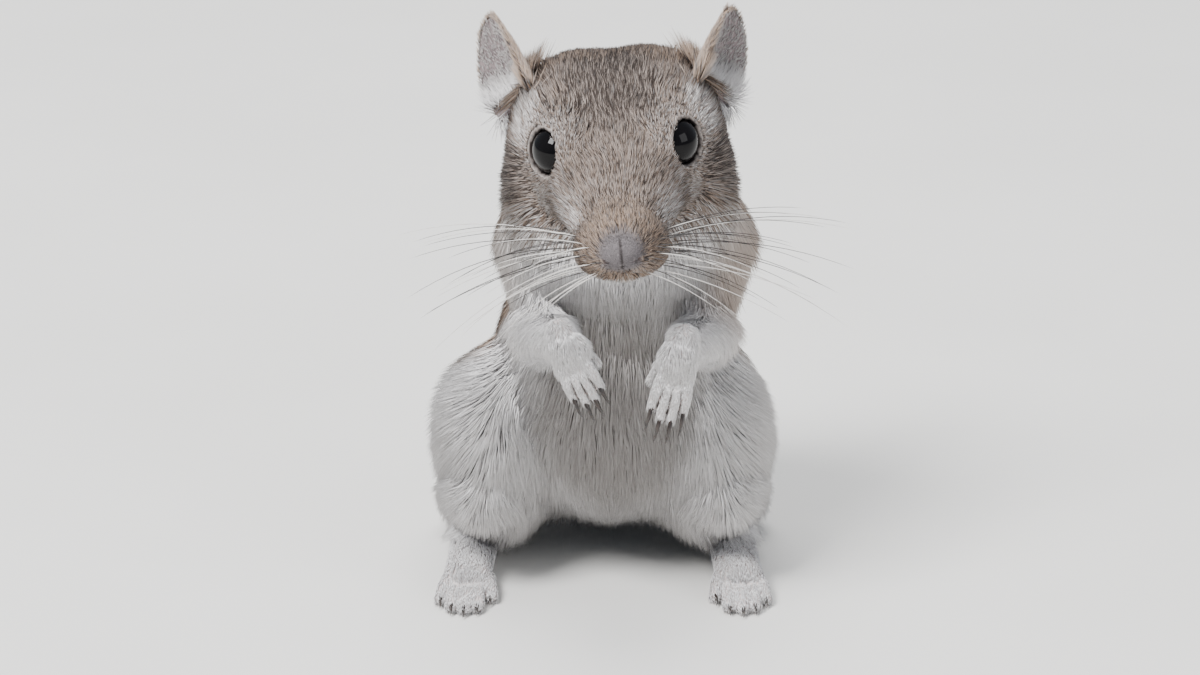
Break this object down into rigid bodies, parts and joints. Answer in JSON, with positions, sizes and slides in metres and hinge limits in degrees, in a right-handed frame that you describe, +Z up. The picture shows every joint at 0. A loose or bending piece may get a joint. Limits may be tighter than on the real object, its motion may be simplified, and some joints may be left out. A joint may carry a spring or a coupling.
{
  "type": "gerbil model",
  "caption": "Life-size still model of a gerbil that sits up on its haunches, forepaws held at the chest, its tail laid out behind on the floor.",
  "frame": {"origin": "on the floor, at the middle of the box round the whole animal, tail included", "axes": "+Z up, -Y the way the animal looks, +Y back along its tail, +X to the animal's left"},
  "size_m": [0.0492, 0.1522, 0.0704],
  "materials": {
    "coat_back": "short ticked fur",
    "coat_side": "short soft fur",
    "coat_pale": "short soft fur",
    "brush": "longer dark hair",
    "ear": "thin bare skin with fine hair",
    "eye": "wet gloss",
    "paw": "fine pale fur over skin, dark claws"
  },
  "bodies": {
    "root": {"head": "coat_back", "neck": "coat_side", "torso": "coat_pale", "tail_base": "coat_back", "tail_middle": "coat_back", "tail_brush": "brush", "ear_left": "ear", "eye_left": "eye", "arm_left": "coat_side", "forearm_left": "coat_pale", "paw_left": "paw", "thigh_left": "coat_side", "shank_left": "coat_pale", "foot_left": "paw", "ear_right": "ear", "eye_right": "eye", "arm_right": "coat_side", "forearm_right": "coat_pale", "paw_right": "paw", "thigh_right": "coat_side", "shank_right": "coat_pale", "foot_right": "paw"}
  },
  "joints": []
}
